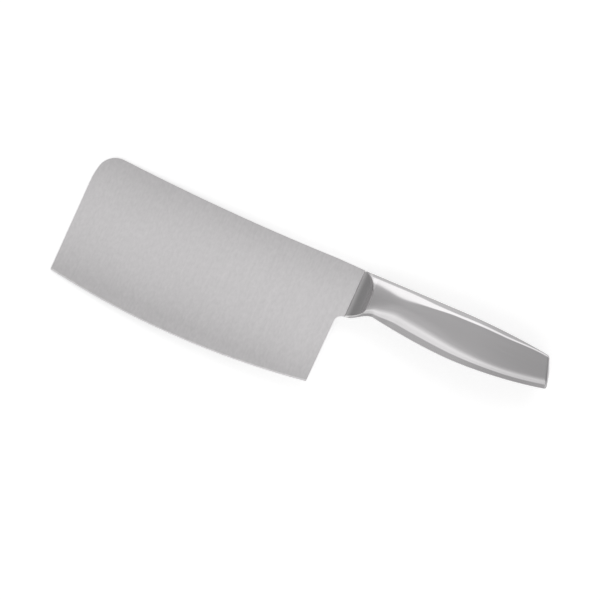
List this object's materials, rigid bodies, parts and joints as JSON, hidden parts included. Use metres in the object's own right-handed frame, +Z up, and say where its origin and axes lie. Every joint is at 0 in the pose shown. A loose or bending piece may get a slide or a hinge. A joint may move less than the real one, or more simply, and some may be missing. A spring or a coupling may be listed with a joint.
{
  "type": "meat cleaver",
  "caption": "Stainless steel meat cleaver with a wide blade, curved edge, hollow-ground bolster and faceted hollow handle, for chopping and slicing meat",
  "frame": {"origin": "centre of the bounding box, on the surface that the cleaver lies on", "axes": "+X from the front edge of the blade to the butt, +Y from the cutting edge to the spine, +Z up out of the surface, through the thickness"},
  "size_m": [0.3039, 0.0854, 0.0227],
  "materials": {
    "blade_steel": "satin, brushed from edge to spine",
    "handle_steel": "fine satin, close to polished",
    "inner_steel": "turned, not polished",
    "fastener_steel": "plain hardware"
  },
  "bodies": {
    "root": {"blade": "blade_steel", "bolster": "handle_steel", "handle_shell_right": "handle_steel", "handle_shell_left": "handle_steel", "butt_cap": "handle_steel", "tang_rod": "inner_steel", "balance_weight": "inner_steel", "lock_washer": "fastener_steel", "tang_nut": "fastener_steel"}
  },
  "joints": []
}
